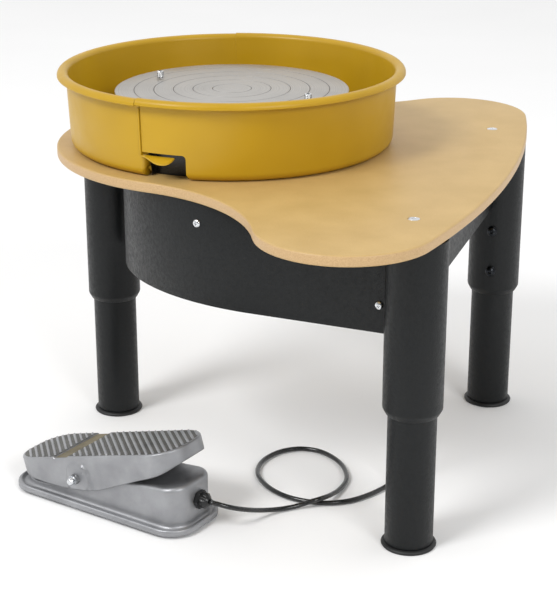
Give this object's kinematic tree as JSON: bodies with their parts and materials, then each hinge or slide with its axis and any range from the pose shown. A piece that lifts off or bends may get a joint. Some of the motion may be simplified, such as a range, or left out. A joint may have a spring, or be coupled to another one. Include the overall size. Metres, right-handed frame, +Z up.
{
  "type": "pottery wheel",
  "caption": "Electric pottery wheel: round wheelhead in a two-piece splash pan on a board table with telescopic legs, a steel skirt and a foot pedal on a cord.",
  "frame": {"origin": "middle of the footprint box without the free cord, on the floor", "axes": "+Z up, along the wheel's axis; -Y is the front, where the potter sits"},
  "size_m": [0.6739, 0.7252, 0.491],
  "materials": {
    "board": "fine mottled board, satin",
    "pan_plastic": "satin ochre",
    "turned_aluminium": "turned, with fine rings",
    "cast_aluminium": "as cast",
    "silver_paint": "cast, silver paint",
    "black_paint": "fine textured black paint",
    "rubber": "matt",
    "cord_jacket": "glossy black jacket",
    "zinc": "bright zinc",
    "steel": "plain",
    "black_steel": "blackened",
    "black_plastic": "glossy"
  },
  "bodies": {
    "frame": {"bearing_bridge": "black_paint", "bearing_housing": "cast_aluminium", "control_box": "black_paint", "control_cover": "black_paint", "control_gland": "black_plastic", "drive_belt": "rubber", "front_skirt": "black_paint", "leg_bolt_back_lower": "black_steel", "leg_bolt_back_upper": "black_steel", "leg_bolt_front_lower": "black_steel", "leg_bolt_front_upper": "black_steel", "leg_bolt_left_lower": "black_steel", "leg_bolt_left_upper": "black_steel", "leg_sleeve_back": "black_paint", "leg_sleeve_front": "black_paint", "leg_sleeve_left": "black_paint", "lower_bearing": "steel", "motor_body": "black_paint", "motor_plate": "steel", "pedal_base": "silver_paint", "pedal_bottom_plate": "steel", "pedal_cord": "cord_jacket", "pedal_foot_1": "rubber", "pedal_foot_2": "rubber", "pedal_foot_3": "rubber", "pedal_foot_4": "rubber", "pedal_gland": "black_plastic", "pivot_bolt": "zinc", "pivot_cap_nut": "zinc", "pivot_nut": "zinc", "power_inlet": "black_plastic", "rear_plate": "black_paint", "side_plate": "black_paint", "skirt_screw_left": "zinc", "skirt_screw_right": "zinc", "speed_sensor": "black_plastic", "switch_bezel": "black_plastic", "table_screw_back": "zinc", "table_screw_front": "zinc", "table_screw_left": "zinc", "table_top": "board", "upper_bearing": "steel"},
    "wheel": {"wheelhead": "turned_aluminium", "wheel_shaft": "steel", "driven_pulley": "cast_aluminium", "bat_pin_left": "zinc", "bat_pin_right": "zinc"},
    "motor_rotor": {"motor_shaft": "steel", "motor_pulley": "steel"},
    "leg_left": {"leg_tube_left": "black_paint", "foot_left": "rubber"},
    "leg_front": {"leg_tube_front": "black_paint", "foot_front": "rubber"},
    "leg_back": {"leg_tube_back": "black_paint", "foot_back": "rubber"},
    "pan_left": {"splash_pan_left": "pan_plastic"},
    "pan_right": {"splash_pan_right": "pan_plastic"},
    "treadle": {"pedal_treadle": "silver_paint"},
    "sensor_lever": {"sensor_arm": "steel"},
    "rocker": {"switch_rocker": "black_plastic"}
  },
  "joints": [
    {"name": "wheel_spin", "type": "hinge", "parent": "frame", "child": "wheel", "pos_m": [-0.0689, 0.1192, 0.4], "axis": [0, 0, 1], "continuous": true},
    {"name": "motor_spin", "type": "hinge", "parent": "frame", "child": "motor_rotor", "pos_m": [0.0771, 0.0272, 0.29], "axis": [0, 0, 1], "continuous": true},
    {"name": "leg_slide_left", "type": "slide", "parent": "frame", "child": "leg_left", "axis": [0, 0, -1], "range_m": [0, 0.1]},
    {"name": "leg_slide_front", "type": "slide", "parent": "frame", "child": "leg_front", "axis": [0, 0, -1], "range_m": [0, 0.1]},
    {"name": "leg_slide_back", "type": "slide", "parent": "frame", "child": "leg_back", "axis": [0, 0, -1], "range_m": [0, 0.1]},
    {"name": "pan_left_slide", "type": "slide", "parent": "frame", "child": "pan_left", "axis": [-0.967, 0.2546, 0], "range_m": [0, 0.15]},
    {"name": "pan_right_slide", "type": "slide", "parent": "frame", "child": "pan_right", "axis": [0.967, -0.2546, 0], "range_m": [0, 0.15]},
    {"name": "treadle_tilt", "type": "hinge", "parent": "frame", "child": "treadle", "pos_m": [-0.23058, -0.13245, 0.041], "axis": [0.5519, 0.8339, 0], "range_deg": [0, 7.5]},
    {"name": "sensor_tilt", "type": "hinge", "parent": "frame", "child": "sensor_lever", "pos_m": [-0.16053, -0.17881, 0.033], "axis": [0.5519, 0.8339, 0], "range_deg": [-12, 0]},
    {"name": "switch_toggle", "type": "hinge", "parent": "frame", "child": "rocker", "pos_m": [0.16184, -0.04967, 0.316], "axis": [-0.9462, 0.3236, 0], "range_deg": [-12, 0]}
  ],
  "couplings": [
    {"joint": "motor_spin", "follows": "wheel_spin", "ratio": 5.5714},
    {"joint": "sensor_tilt", "follows": "treadle_tilt", "ratio": -1.6}
  ]
}
